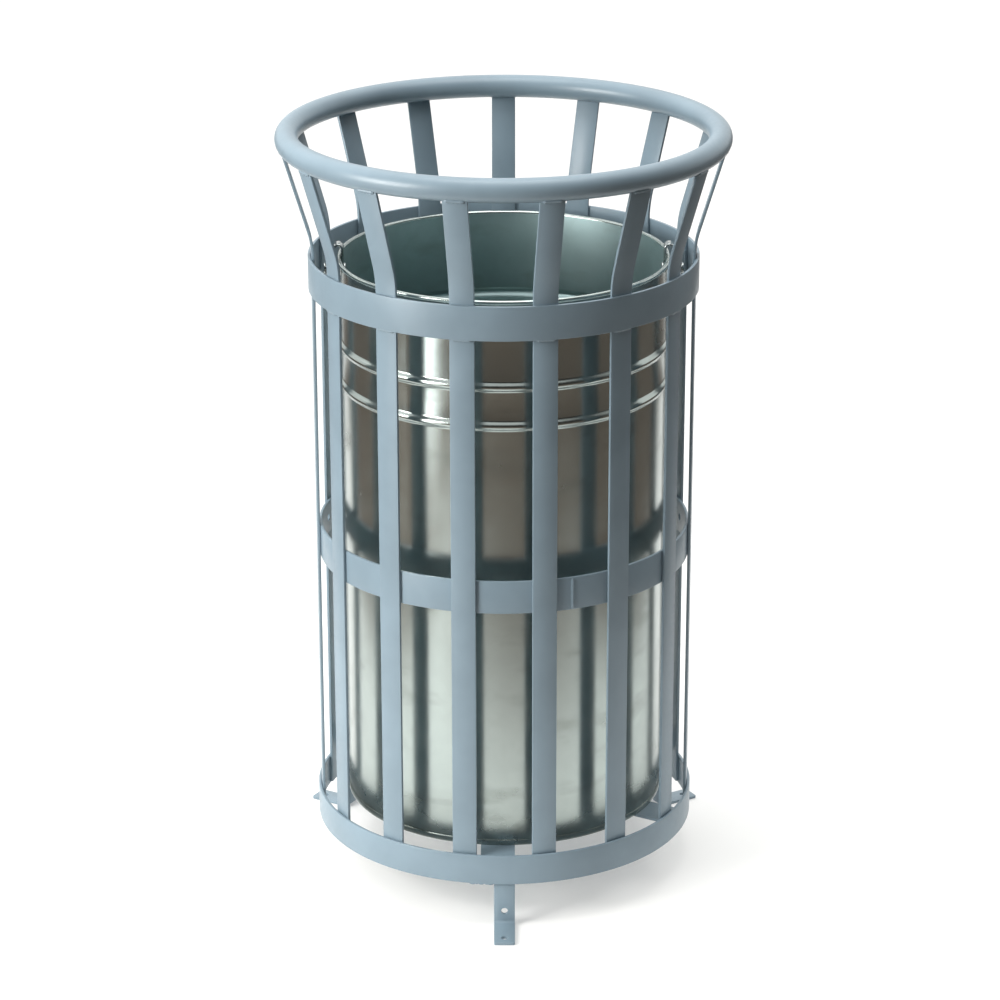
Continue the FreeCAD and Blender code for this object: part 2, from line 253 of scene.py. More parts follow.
def turn_to(bm, azimuth):
    bmesh.ops.rotate(bm, cent=(0, 0, 0), matrix=Matrix.Rotation(azimuth, 3, "Z"), verts=bm.verts)


def close_strip(bm):
    """Puts back the start face of a strip and makes every face point outwards."""
    bmesh.ops.holes_fill(bm, edges=[edge for edge in bm.edges if edge.is_boundary], sides=4)
    bmesh.ops.recalc_face_normals(bm, faces=bm.faces)


def copies_round(bm, azimuths):
    """Repeats what is in the mesh at several azimuths, in place of the original."""
    original_verts = list(bm.verts)
    original = original_verts + list(bm.edges) + list(bm.faces)
    for azimuth in azimuths:
        made = bmesh.ops.duplicate(bm, geom=original)["geom"]
        verts = [item for item in made if isinstance(item, bmesh.types.BMVert)]
        bmesh.ops.rotate(bm, cent=(0, 0, 0), matrix=Matrix.Rotation(azimuth, 3, "Z"), verts=verts)
    bmesh.ops.delete(bm, geom=original_verts, context="VERTS")


def mark_sharp(bm):
    for face in bm.faces:
        face.smooth = True
    for edge in bm.edges:
        edge.smooth = len(edge.link_faces) != 2 or edge.calc_face_angle() < SHARP_ANGLE


def piece(name, bm, material, body, replaces=()):
    """Turns a bmesh into a shown piece that rides on a body of the bin."""
    mark_sharp(bm)
    mesh = bpy.data.meshes.new(name)
    bm.to_mesh(mesh)
    bm.free()
    mesh.materials.append(material)
    made = bpy.data.objects.new(name, mesh)
    bpy.context.scene.collection.objects.link(made)
    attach(made, body)
    if replaces:
        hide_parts(*replaces)
    return made


def drilled(bm, cutters):
    """Cuts cylinders out of a mesh: each is (radius, start, end)."""
    solid = temporary("drill_solid", bm)
    tools = []
    for radius, start, end in cutters:
        axis = Vector(end) - Vector(start)
        middle = (Vector(start) + Vector(end)) / 2
        place = Matrix.Translation(middle) @ axis.to_track_quat("Z", "Y").to_matrix().to_4x4()
        tool_mesh = bmesh.new()
        bmesh.ops.create_cone(
            tool_mesh, cap_ends=True, segments=32, radius1=radius, radius2=radius,
            depth=axis.length, matrix=place)
        tool = temporary("drill_tool", tool_mesh)
        cut = solid.modifiers.new("Drill", "BOOLEAN")
        cut.operation = "DIFFERENCE"
        cut.solver = "EXACT"
        cut.object = tool
        tools.append(tool)
    bpy.context.view_layer.update()
    evaluated = solid.evaluated_get(bpy.context.evaluated_depsgraph_get())
    result = bmesh.new()
    result.from_mesh(evaluated.to_mesh())
    evaluated.to_mesh_clear()
    for item in [solid] + tools:
        mesh = item.data
        bpy.data.objects.remove(item)
        bpy.data.meshes.remove(mesh)
    return result


def temporary(name, bm):
    mesh = bpy.data.meshes.new(name)
    bm.to_mesh(mesh)
    bm.free()
    made = bpy.data.objects.new(name, mesh)
    bpy.context.scene.collection.objects.link(made)
    return made


# --- materials -------------------------------------------------------------
def hex_to_linear(code, alpha=1.0):
    """An sRGB hex value as the linear colour that the shaders take."""
    values = [int(code[start:start + 2], 16) / 255 for start in (1, 3, 5)]
    linear = [v / 12.92 if v <= 0.04045 else ((v + 0.055) / 1.055) ** 2.4 for v in values]
    return (*linear, alpha)


def add_node(tree, kind, settings=None, values=None, links=None):
    """One node with its settings, its socket values and its incoming links."""
    node = tree.nodes.new(kind)
    for key, value in (settings or {}).items():
        setattr(node, key, value)
    for key, value in (values or {}).items():
        node.inputs[key].default_value = value
    for key, source in (links or {}).items():
        tree.links.new(source, node.inputs[key])
    return node


def new_material(name):
    material = bpy.data.materials.new(name)
    material.use_nodes = True
    material.node_tree.nodes.clear()
    return material, material.node_tree


def output(tree, shader):
    add_node(tree, "ShaderNodeOutputMaterial", links={"Surface": shader.outputs[0]})


def per_metre(millimetres):
    """Texture scale that gives features of about this size."""
    return 1.0 / (millimetres * MM)


def object_noise(tree, place, size, detail=3.0, roughness=0.5):
    return add_node(
        tree, "ShaderNodeTexNoise",
        values={"Scale": per_metre(size), "Detail": detail, "Roughness": roughness},
        links={"Vector": place})


def remap(tree, source, from_low, from_high, to_low, to_high):
    return add_node(
        tree, "ShaderNodeMapRange", {"clamp": True},
        {"From Min": from_low, "From Max": from_high, "To Min": to_low, "To Max": to_high},
        {"Value": source})


def blend_colours(tree, factor, first, second, mode="MIX"):
    """A colour mix; first and second are sockets or linear colours."""
    node = add_node(tree, "ShaderNodeMix", {"data_type": "RGBA", "blend_type": mode})
    for index, item in ((6, first), (7, second)):
        if isinstance(item, tuple):
            node.inputs[index].default_value = item
        else:
            tree.links.new(item, node.inputs[index])
    if isinstance(factor, float):
        node.inputs[0].default_value = factor
    else:
        tree.links.new(factor, node.inputs[0])
    return node.outputs[2]


def powder_coat(code):
    """Polyester powder coat, sprayed dry and stoved: a satin skin with faint orange peel."""
    material, tree = new_material("satin_powder_coat")
    place = add_node(tree, "ShaderNodeTexCoord").outputs["Object"]
    # orange peel about 1.6 mm across, hardly seen but in the edge of a highlight
    peel = object_noise(tree, place, 1.6, 2.0)
    # the spray gun's passes leave soft lighter and darker areas, a hand's breadth apart
    cloud = object_noise(tree, place, 60.0, 3.0)
    # handling and dust turn the satin a little more and less matt
    grain = object_noise(tree, place, 5.0, 4.0)
    base = hex_to_linear(code)
    darker = tuple(value * 0.93 for value in base[:3]) + (1.0,)
    lighter = tuple(value * 1.05 for value in base[:3]) + (1.0,)
    shade = remap(tree, cloud.outputs["Fac"], 0.35, 0.65, 0.0, 1.0)
    tint = blend_colours(tree, shade.outputs[0], darker, lighter)
    sheen = remap(tree, grain.outputs["Fac"], 0.3, 0.7, 0.31, 0.39)
    skin = add_node(
        tree, "ShaderNodeBump", values={"Strength": 0.35, "Distance": 0.02 * MM},
        links={"Height": peel.outputs["Fac"]})
    shader = add_node(
        tree, "ShaderNodeBsdfPrincipled", values={"IOR": 1.5, "Specular IOR Level": 0.5},
        links={"Base Color": tint, "Roughness": sheen.outputs[0], "Normal": skin.outputs[0]})
    output(tree, shader)
    return material


def galvanised_sheet(name, code, tarnish_code, polish):
    """Hot-dip galvanised sheet, rolled: zinc with faint spangle, roll lines and dull stains."""
    material, tree = new_material(name)
    place = add_node(tree, "ShaderNodeTexCoord").outputs["Object"]
    # zinc crystals about 11 mm across, each a slightly different grey
    spangle = add_node(
        tree, "ShaderNodeTexVoronoi", {"feature": "F1"}, {"Scale": per_metre(11.0), "Randomness": 1.0},
        {"Vector": place})
    # roll lines run round the wall; real ones are finer and wouldn't show
    rolled = add_node(
        tree, "ShaderNodeMapping", {"vector_type": "POINT"},
        {"Scale": (0.06, 0.06, 1.0)}, {"Vector": place})
    lines = object_noise(tree, rolled.outputs[0], 1.8, 4.0)
    cloud = object_noise(tree, place, 45.0, 4.0, 0.6)
    # dull stains spread sideways, and the wall gets darker and duller towards its foot
    smear = add_node(
        tree, "ShaderNodeMapping", {"vector_type": "POINT"},
        {"Scale": (0.45, 0.45, 1.0)}, {"Vector": place})
    stain = object_noise(tree, smear.outputs[0], 32.0, 3.0, 0.5)
    height = add_node(tree, "ShaderNodeSeparateXYZ", links={"Vector": place}).outputs["Z"]
    low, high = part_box("liner_wall")
    # the stain noise is added again, most at the foot and fading out 60 mm up, so the wall is darker and
    # duller towards its foot
    near_foot = remap(tree, height, low.z, low.z + 0.06, 0.9, 0.0)
    dull = remap(tree, stain.outputs["Fac"], 0.55, 0.80, 0.0, 0.4)
    stains_and_darker_foot = add_node(
        tree, "ShaderNodeMath", {"operation": "MULTIPLY_ADD", "use_clamp": True},
        links={0: near_foot.outputs[0], 1: stain.outputs["Fac"], 2: dull.outputs[0]})
    bright = hex_to_linear(code)
    soft = tuple(value * 0.90 for value in bright[:3]) + (1.0,)
    crystal = add_node(tree, "ShaderNodeSeparateColor", links={"Color": spangle.outputs["Color"]})
    flake = remap(tree, crystal.outputs[0], 0.0, 1.0, 0.0, 0.35)
    flaked = blend_colours(tree, flake.outputs[0], bright, soft)
    tint = blend_colours(tree, stains_and_darker_foot.outputs[0], flaked, hex_to_linear(tarnish_code))
    base_rough = remap(tree, cloud.outputs["Fac"], 0.3, 0.7, polish, polish + 0.07)
    rough = add_node(
        tree, "ShaderNodeMath", {"operation": "MULTIPLY_ADD"}, {1: 0.16},
        {0: stains_and_darker_foot.outputs[0], 2: base_rough.outputs[0]})
    relief = add_node(
        tree, "ShaderNodeBump", values={"Strength": 0.25, "Distance": 0.02 * MM},
        links={"Height": lines.outputs["Fac"]})
    # thin sheet is never quite round: shallow dents bend its reflections
    dents = object_noise(tree, place, 120.0, 1.0)
    dented = add_node(
        tree, "ShaderNodeBump", values={"Strength": 0.12, "Distance": 0.5 * MM},
        links={"Height": dents.outputs["Fac"], "Normal": relief.outputs[0]})
    shader = add_node(
        tree, "ShaderNodeBsdfPrincipled", values={"Metallic": 1.0},
        links={"Base Color": tint, "Roughness": rough.outputs[0], "Normal": dented.outputs[0]})
    output(tree, shader)
    return material


def plated_wire(code):
    """Bright zinc plate on drawn wire and strap: a hard shine with fine draw marks."""
    material, tree = new_material("bright_zinc_plate")
    place = add_node(tree, "ShaderNodeTexCoord").outputs["Object"]
    # draw marks, coarser than real ones so that they show
    marks = object_noise(tree, place, 2.5, 4.0)
    # grime in patches the size of a fingertip
    grime = object_noise(tree, place, 9.0, 3.0)
    base = hex_to_linear(code)
    dark = tuple(value * 0.55 for value in base[:3]) + (1.0,)
    shade = remap(tree, grime.outputs["Fac"], 0.42, 0.72, 0.0, 0.8)
    tint = blend_colours(tree, shade.outputs[0], base, dark)
    rough = remap(tree, marks.outputs["Fac"], 0.3, 0.7, 0.16, 0.30)
    relief = add_node(
        tree, "ShaderNodeBump", values={"Strength": 0.3, "Distance": 0.03 * MM},
        links={"Height": marks.outputs["Fac"]})
    shader = add_node(
        tree, "ShaderNodeBsdfPrincipled", values={"Metallic": 1.0},
        links={"Base Color": tint, "Roughness": rough.outputs[0], "Normal": relief.outputs[0]})
    output(tree, shader)
    return material


def studio_floor(paper_code, surround_code):
    """Matt white paper, faintly lit from below, on a warm dark studio floor."""
    material, tree = new_material("matt_paper_floor")
    place = add_node(tree, "ShaderNodeTexCoord").outputs["Object"]
    parts = add_node(tree, "ShaderNodeSeparateXYZ", links={"Vector": place})
    # the paper is a strip that widens a little towards the back and ends in front of the bin
    side = add_node(
        tree, "ShaderNodeMath", {"operation": "ABSOLUTE"}, links={0: parts.outputs["X"]})
    widened = add_node(
        tree, "ShaderNodeMath", {"operation": "MULTIPLY_ADD"}, {1: -0.16},
        {0: parts.outputs["Y"], 2: side.outputs[0]})
    past_side = remap(tree, widened.outputs[0], 0.575, 0.80, 0.0, 1.0)
    slanted = add_node(
        tree, "ShaderNodeMath", {"operation": "MULTIPLY_ADD"}, {1: -0.25},
        {0: parts.outputs["X"], 2: parts.outputs["Y"]})
    past_front = remap(tree, slanted.outputs[0], -0.86, -0.37, 1.0, 0.0)
    beyond = add_node(
        tree, "ShaderNodeMath", {"operation": "MAXIMUM"},
        links={0: past_side.outputs[0], 1: past_front.outputs[0]})
    # paper fibres, coarser than real ones
    fibres = object_noise(tree, place, 3.0, 3.0)
    paper = hex_to_linear(paper_code)
    shaded = tuple(value * 0.985 for value in paper[:3]) + (1.0,)
    sheet = blend_colours(tree, fibres.outputs["Fac"], paper, shaded)
    tint = blend_colours(tree, beyond.outputs[0], sheet, hex_to_linear(surround_code))
    glow = remap(tree, beyond.outputs[0], 0.0, 1.0, 0.31, 0.0)
    shader = add_node(
        tree, "ShaderNodeBsdfPrincipled",
        values={"Roughness": 0.9, "Specular IOR Level": 0.2, "Emission Color": (1.0, 1.0, 1.0, 1.0)},
        links={"Base Color": tint, "Emission Strength": glow.outputs[0]})
    output(tree, shader)
    return material


def finish(name):
    """The shared materials, made once."""
    found = bpy.data.materials.get(name)
    if found:
        return found
    colours = bpy.context.scene.bin_colours
    if name == "satin_powder_coat":
        return powder_coat(colours.coat)
    if name == "galvanised_sheet_steel":
        return galvanised_sheet(name, colours.zinc, colours.tarnish, 0.19)
    if name == "dulled_galvanised_sheet":
        return galvanised_sheet(name, colours.inside, colours.tarnish, 0.42)
    if name == "bright_zinc_plate":
        return plated_wire(colours.wire)
    return studio_floor(colours.paper, colours.surround)


def refinish(nodes, name):
    """Gives CAD nodes that keep their own shape a finished material."""
    for node in nodes:
        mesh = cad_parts[node].data
        mesh.materials.clear()
        mesh.materials.append(finish(name))


# --- what the frame says about the bin's places ----------------------------
def hoop_box(node):
    """(outer radius, bottom, top) of a node that goes all the way round."""
    low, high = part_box(node)
    return (high.x - low.x) / 2, low.z, high.z


def chord_face(radius, width, ease):
    """Distance from the axis to a flat whose two eased edges touch a cylinder."""
    return ease + math.sqrt((radius - ease) ** 2 - (width / 2 - ease) ** 2)


def slat_faces():
    """(inner face, outer face) distances of the slats from the axis."""
    sizes = bpy.context.scene.bin_cage
    radius, _, _ = hoop_box("upper_band")
    outer = chord_face(radius - sizes.bar_thickness, sizes.slat_width, sizes.edge_radius)
    return outer - sizes.bar_thickness, outer


def slat_azimuths():
    count = bpy.context.scene.bin_cage.slat_count
    return [FULL_TURN * (number - 0.5) / count for number in range(1, count + 1)]


def rim():
    """(curl centre's radius, curl centre's height, rim height) of the liner."""
    sizes = bpy.context.scene.bin_liner
    _, _, top = hoop_box("liner_wall")
    inner = sizes.wall_radius - sizes.sheet_thickness
    return inner + sizes.curl_radius, top - sizes.curl_radius, top


# --- cage ------------------------------------------------------------------
class BIN_OT_ring(bpy.types.Operator):
    """Rolls the top ring from round tube and drills its vent hole"""
    bl_idname = "litter_bin.ring"
    bl_label = "Top ring"

    def execute(self, context):
        sizes = context.scene.bin_cage
        outer, bottom, top = hoop_box("top_ring")
        tube = (top - bottom) / 2
        radius = outer - tube
        level = (top + bottom) / 2
        bm = bmesh.new()
        place = Matrix.Translation((0, -radius, level)) @ Matrix.Rotation(math.pi / 2, 4, "Y")
        bmesh.ops.create_circle(bm, segments=TUBE_STEPS, radius=tube, matrix=place)
        spin_round(bm, list(bm.verts) + list(bm.edges), HOOP_STEPS)
        turn = Matrix.Rotation(sizes.vent_hole_azimuth, 3, "Z")
        vent = turn @ Vector((0, -radius, 0))
        hole = (sizes.vent_hole_radius, vent + UP * (bottom - tube), vent + UP * (bottom + tube / 2))
        bm = drilled(bm, [hole])
        piece("ring_tube", bm, finish("satin_powder_coat"), "cage", ["top_ring"])
        return {"FINISHED"}


def hoop(node):
    """A hoop of flat bar with its four edges eased."""
    sizes = bpy.context.scene.bin_cage
    outer, bottom, top = hoop_box(node)
    inner = outer - sizes.bar_thickness
    bm = bmesh.new()
    corners = [(inner, bottom), (outer, bottom), (outer, top), (inner, top)]
    face = bm.faces.new([bm.verts.new((0, -radius, height)) for radius, height in corners])
    bmesh.ops.bevel(
        bm, geom=list(face.verts), offset=sizes.edge_radius, offset_type="OFFSET", segments=3,
        profile=0.5, affect="VERTICES", clamp_overlap=True, material=-1)
    bmesh.ops.delete(bm, geom=list(bm.faces), context="FACES_ONLY")
    spin_round(bm, list(bm.verts) + list(bm.edges), HOOP_STEPS)
    return bm


class BIN_OT_bands(bpy.types.Operator):
    """Rolls the three bands from flat bar and drills the middle one"""
    bl_idname = "litter_bin.bands"
    bl_label = "Bands"

    def execute(self, context):
        sizes = context.scene.bin_cage
        coat = finish("satin_powder_coat")
        piece("upper_band_hoop", hoop("upper_band"), coat, "cage", ["upper_band"])
        piece("lower_band_hoop", hoop("lower_band"), coat, "cage", ["lower_band"])
        outer, bottom, top = hoop_box("middle_band")
        level = (bottom + top) / 2
        holes = []
        for azimuth in (-sizes.fixing_hole_azimuth, sizes.fixing_hole_azimuth):
            direction = Matrix.Rotation(azimuth, 3, "Z") @ OUTWARD
            first = direction * (outer - 2 * sizes.bar_thickness) + UP * level
            last = direction * (outer + sizes.bar_thickness) + UP * level
            holes.append((sizes.fixing_hole_radius, first, last))
        band = drilled(hoop("middle_band"), holes)
        piece("middle_band_hoop", band, coat, "cage", ["middle_band"])
        return {"FINISHED"}


class BIN_OT_slats(bpy.types.Operator):
    """Bends the upright slats and eases their edges"""
    bl_idname = "litter_bin.slats"
    bl_label = "Slats"

    def execute(self, context):
        for number, azimuth in enumerate(slat_azimuths(), 1):
            node = "slat_%02d" % number
            bm = self.strip(context, node)
            turn_to(bm, azimuth)
            coat = finish("satin_powder_coat")
            piece("slat_bar_%02d" % number, bm, coat, "cage", [node])
        return {"FINISHED"}

    @staticmethod
    def strip(context, node):
        sizes = context.scene.bin_cage
        inner, outer = slat_faces()
        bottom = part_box(node)[0].z
        ring_outer, ring_bottom, ring_top = hoop_box("top_ring")
        _, _, flare_start = hoop_box("upper_band")
        tube = (ring_top - ring_bottom) / 2
        bm = bmesh.new()
        end = section(bm, sizes.slat_width, inner, outer, bottom)
        end = run_on(bm, end, UP * (flare_start - bottom))
        centre = Vector((0, -outer - sizes.flare_bend_radius, flare_start))
        end = bend_on(bm, end, centre, sizes.flare_angle, 6)
        along = Matrix.Rotation(sizes.flare_angle, 3, "X") @ UP
        across = Matrix.Rotation(sizes.flare_angle, 3, "X") @ OUTWARD
        gap = Vector((0, -ring_outer + tube, (ring_top + ring_bottom) / 2)) - end.calc_center_median()
        outer_offset = abs(gap.dot(across)) + sizes.bar_thickness / 2
        reach = gap.dot(along) - math.sqrt(tube ** 2 - outer_offset ** 2) + sizes.bar_thickness / 4
        run_on(bm, end, along * reach)
        close_strip(bm)
        ease_edges(bm, sharp_edges(bm), sizes.edge_radius)
        return bm


class BIN_OT_feet(bpy.types.Operator):
    """Bends, rounds and drills the three feet and coats the base bars"""
    bl_idname = "litter_bin.feet"
    bl_label = "Feet and base bars"

    def execute(self, context):
        bars = [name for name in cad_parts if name.startswith("base_")]
        refinish(bars, "satin_powder_coat")
        for side, azimuth in (("front", 0.0), ("right", FULL_TURN / 3), ("left", -FULL_TURN / 3)):
            bm = self.strip(context)
            turn_to(bm, azimuth)
            coat = finish("satin_powder_coat")
            piece("foot_strip_" + side, bm, coat, "cage", ["foot_" + side])
        return {"FINISHED"}

    @staticmethod
    def strip(context):
        sizes = context.scene.bin_cage
        low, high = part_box("foot_front")
        radius, _, _ = hoop_box("lower_band")
        thick = sizes.bar_thickness
        outer = chord_face(radius - thick, sizes.foot_width, 0)
        inner = outer - thick
        level = thick + sizes.foot_bend_radius
        bm = bmesh.new()
        end = section(bm, sizes.foot_width, inner, outer, high.z)
        end = run_on(bm, end, UP * (level - high.z))
        centre = Vector((0, -outer - sizes.foot_bend_radius, level))
        end = bend_on(bm, end, centre, -math.pi / 2, 8)
        run_on(bm, end, OUTWARD * (-low.y - outer - sizes.foot_bend_radius))
        close_strip(bm)
        tips = [edge for edge in bm.edges if all(abs(v.co.y - low.y) < 1e-5 for v in edge.verts)]
        upright = [
            edge for edge in tips if abs(edge.verts[0].co.x - edge.verts[1].co.x) < SAME_PLACE]
        ease_edges(bm, upright, sizes.foot_tip_radius, 5)
        ease_edges(bm, sharp_edges(bm), sizes.edge_radius * 0.6)
        plate = Vector((0, -sizes.foot_hole_reach, 0))
        leg = Vector((0, 0, sizes.leg_hole_level))
        holes = [
            (sizes.foot_hole_radius, plate - UP * thick, plate + UP * 2 * thick),
            (sizes.foot_hole_radius, leg + OUTWARD * (inner - thick), leg + OUTWARD * (outer + thick)),
        ]
        return drilled(bm, holes)


def grow_face(bm, face, ratio):
    bmesh.ops.scale(
        bm, verts=face.verts, vec=(ratio, ratio, ratio),
        space=Matrix.Translation(-face.calc_center_median()))


def weld_run(bm, length_along, radius, start):
    """A rippled bead of weld lying sideways, centred on a point."""
    place = Matrix.Translation(start) @ Matrix.Rotation(math.pi / 2, 4, "Y")
    made = bmesh.ops.create_circle(
        bm, cap_ends=True, segments=WELD_SEGMENTS, radius=radius, matrix=place)
    verts = made["verts"]
    face = verts[0].link_faces[0]
    bmesh.ops.translate(bm, verts=verts, vec=(-length_along / 2, 0, 0))
    size = WELD_END_SIZE
    grow_face(bm, face, size)
    for number in range(1, WELD_PUDDLES + 1):
        face = run_on(bm, face, SIDEWAYS * (length_along / WELD_PUDDLES))
        wanted = 1.0 + WELD_RIPPLE * math.sin(WELD_RIPPLE_TURN * number)
        if number == WELD_PUDDLES:
            wanted = WELD_END_SIZE
        grow_face(bm, face, wanted / size)
        size = wanted
    bmesh.ops.holes_fill(bm, edges=[edge for edge in bm.edges if edge.is_boundary], sides=0)
    bmesh.ops.recalc_face_normals(bm, faces=bm.faces)


class BIN_OT_welds(bpy.types.Operator):
    """Lays the weld beads where the slats meet the ring and the bands, and the band seams"""
    bl_idname = "litter_bin.welds"
    bl_label = "Welds"

    def execute(self, context):
        sizes = context.scene.bin_cage
        coat = finish("satin_powder_coat")
        outer = slat_faces()[1]
        upper_bottom = hoop_box("upper_band")[1]
        lower_bottom = hoop_box("lower_band")[1]
        joints = {
            "ring_welds": self.ring_places(sizes, outer),
            "upper_band_welds": [Vector((0, -outer - sizes.weld_radius * 0.6, upper_bottom))],
            "lower_band_welds": [Vector((0, -outer - sizes.weld_radius * 0.1, lower_bottom + 2 * MM))],
        }
        for name, places in joints.items():
            bm = bmesh.new()
            for start in places:
                weld_run(bm, sizes.slat_width * 0.8, sizes.weld_radius, start)
            copies_round(bm, slat_azimuths())
            piece(name, bm, coat, "cage")
        self.band_seam(context, coat)
        self.drips(coat)
        return {"FINISHED"}

    @staticmethod
    def ring_places(sizes, outer):
        """Where the inner and the outer face of a flared slat meet the ring."""
        ring_outer, ring_bottom, ring_top = hoop_box("top_ring")
        flare_start = hoop_box("upper_band")[2]
        tube = (ring_top - ring_bottom) / 2
        tilt = Matrix.Rotation(sizes.flare_angle, 3, "X")
        along, across = tilt @ UP, tilt @ OUTWARD
        ring_centre = Vector((0, -ring_outer + tube, (ring_top + ring_bottom) / 2))
        bend_centre = Vector((0, -outer - sizes.flare_bend_radius, flare_start))
        offset = (bend_centre - ring_centre).dot(across) - sizes.flare_bend_radius
        places = []
        for depth in (offset, offset - sizes.bar_thickness):
            places.append(ring_centre + across * depth - along * math.sqrt(tube ** 2 - depth ** 2))
        return places

    @staticmethod
    def band_seam(context, coat):
        """The upright bead where the two ends of the middle band were joined."""
        sizes = context.scene.bin_cage
        outer, bottom, top = hoop_box("middle_band")
        bm = bmesh.new()
        weld_run(bm, top - bottom - sizes.edge_radius, 1.2 * sizes.weld_radius, Vector((0, 0, 0)))
        upright = Matrix.Rotation(math.pi / 2, 3, "Y")
        bmesh.ops.rotate(bm, cent=(0, 0, 0), matrix=upright, verts=bm.verts)
        place = Vector((0, -outer + sizes.weld_radius * 0.5, (top + bottom) / 2))
        bmesh.ops.translate(bm, verts=bm.verts, vec=place)
        turn_to(bm, sizes.seam_azimuth)
        piece("middle_band_seam", bm, coat, "cage")

    @staticmethod
    def drips(coat):
        """Small runs of coating that set on the lower band's edge beside the front foot."""
        outer, bottom, _ = hoop_box("lower_band")
        on_edge = Matrix.Translation((0, -outer + 1.5 * MM, bottom))
        bm = bmesh.new()
        for degrees, radius in COATING_RUNS:
            turn = Matrix.Rotation(math.radians(degrees), 4, "Z")
            bmesh.ops.create_uvsphere(
                bm, u_segments=16, v_segments=8, radius=radius * MM,
                matrix=turn @ on_edge @ Matrix.Diagonal(COATING_RUN_SHAPE))
        piece("lower_band_drips", bm, coat, "cage")


# --- liner -----------------------------------------------------------------
def bead_points(radius, level, depth, half, steps=12):
    """A rolled bead in an upright wall, as one smooth wave."""
    for number in range(steps + 1):
        share = 2 * number / steps - 1
        yield radius + depth * (1 + math.cos(math.pi * share)) / 2, level + half * share


class BIN_OT_liner_wall(bpy.types.Operator):
    """Rolls the liner's wall with its beads and curls its rim"""
    bl_idname = "litter_bin.liner_wall"
    bl_label = "Liner wall"

    def execute(self, context):
        sizes = context.scene.bin_liner
        _, bottom, top = hoop_box("liner_wall")
        centre_radius, centre_level, _ = rim()
        radius = sizes.wall_radius - sizes.sheet_thickness
        curl = sizes.curl_radius
        points = [(radius, bottom), (radius, bottom + 4 * MM)]
        for drop in (sizes.lower_bead_drop, sizes.upper_bead_drop):
            points.extend(bead_points(radius, top - drop, sizes.bead_depth, sizes.bead_half_height))
        steps = 20
        for number in range(steps + 1):
            turn = math.pi + (sizes.curl_end - math.pi) * number / steps
            points.append(polar(centre_radius, centre_level, curl, turn))
        bm = bmesh.new()
        spin_round(bm, outline(bm, points), SHEET_STEPS)
        lowest = min(bm.faces, key=lambda face: face.calc_center_median().z)
        if lowest.normal.dot(lowest.calc_center_median().to_2d().to_3d()) > 0:
            bmesh.ops.reverse_faces(bm, faces=bm.faces)
        bore = list(bm.faces)
        bmesh.ops.solidify(bm, geom=bore, thickness=sizes.sheet_thickness)
        for face in bore:
            face.material_index = 1 if face.calc_center_median().z < centre_level else 0
        zinc = finish("galvanised_sheet_steel")
        shell = piece("liner_shell", bm, zinc, "liner", ["liner_wall"])
        shell.data.materials.append(finish("dulled_galvanised_sheet"))
        self.lapped_seam(context, zinc, bottom, top)
        refinish(["liner_rim_wire"], "bright_zinc_plate")
        return {"FINISHED"}

    @staticmethod
    def lapped_seam(context, zinc, bottom, top):
        """The upright lap at the back where the rolled sheet closes on itself."""
        sizes = context.scene.bin_liner
        start = bottom + sizes.hem_height
        end = top - sizes.lower_bead_drop - sizes.bead_half_height
        outer = sizes.wall_radius + sizes.sheet_thickness * 0.8
        bm = bmesh.new()
        face = section(bm, sizes.seam_width, sizes.wall_radius - sizes.sheet_thickness, outer, start)
        run_on(bm, face, UP * (end - start))
        close_strip(bm)
        ease_edges(bm, sharp_edges(bm), sizes.sheet_thickness * 0.5, 3)
        turn_to(bm, math.pi)
        piece("liner_lapped_seam", bm, zinc, "liner")


class BIN_OT_liner_base(bpy.types.Operator):
    """Presses the liner's floor and folds its hem over the foot of the wall"""
    bl_idname = "litter_bin.liner_base"
    bl_label = "Liner base"

    def execute(self, context):
        sizes = context.scene.bin_liner
        _, bottom, disc_top = hoop_box("liner_base")
        sheet = sizes.sheet_thickness
        inner = sizes.wall_radius - 2 * sheet
        outer = sizes.wall_radius + sheet
        fold = sheet * 0.45
        outer_wall = sizes.wall_radius + sheet * 0.02
        corners = [
            (0.0, disc_top - sheet), (inner - sheet, disc_top - sheet), (inner - sheet, bottom),
            (outer, bottom), (outer, bottom + sizes.hem_height), (outer_wall, bottom + sizes.hem_height),
            (outer_wall, bottom + sheet), (inner, bottom + sheet), (inner, disc_top), (0.0, disc_top)]
        bm = bmesh.new()
        outline(bm, corners)
        bends = [vert for vert in bm.verts if len(vert.link_edges) == 2]
        bmesh.ops.bevel(
            bm, geom=bends, offset=fold, offset_type="OFFSET", segments=3, profile=0.5,
            affect="VERTICES", clamp_overlap=True, material=-1)
        spin_round(bm, list(bm.verts) + list(bm.edges), SHEET_STEPS)
        zinc = finish("galvanised_sheet_steel")
        piece("liner_pan", bm, zinc, "liner", ["liner_base"])
        return {"FINISHED"}


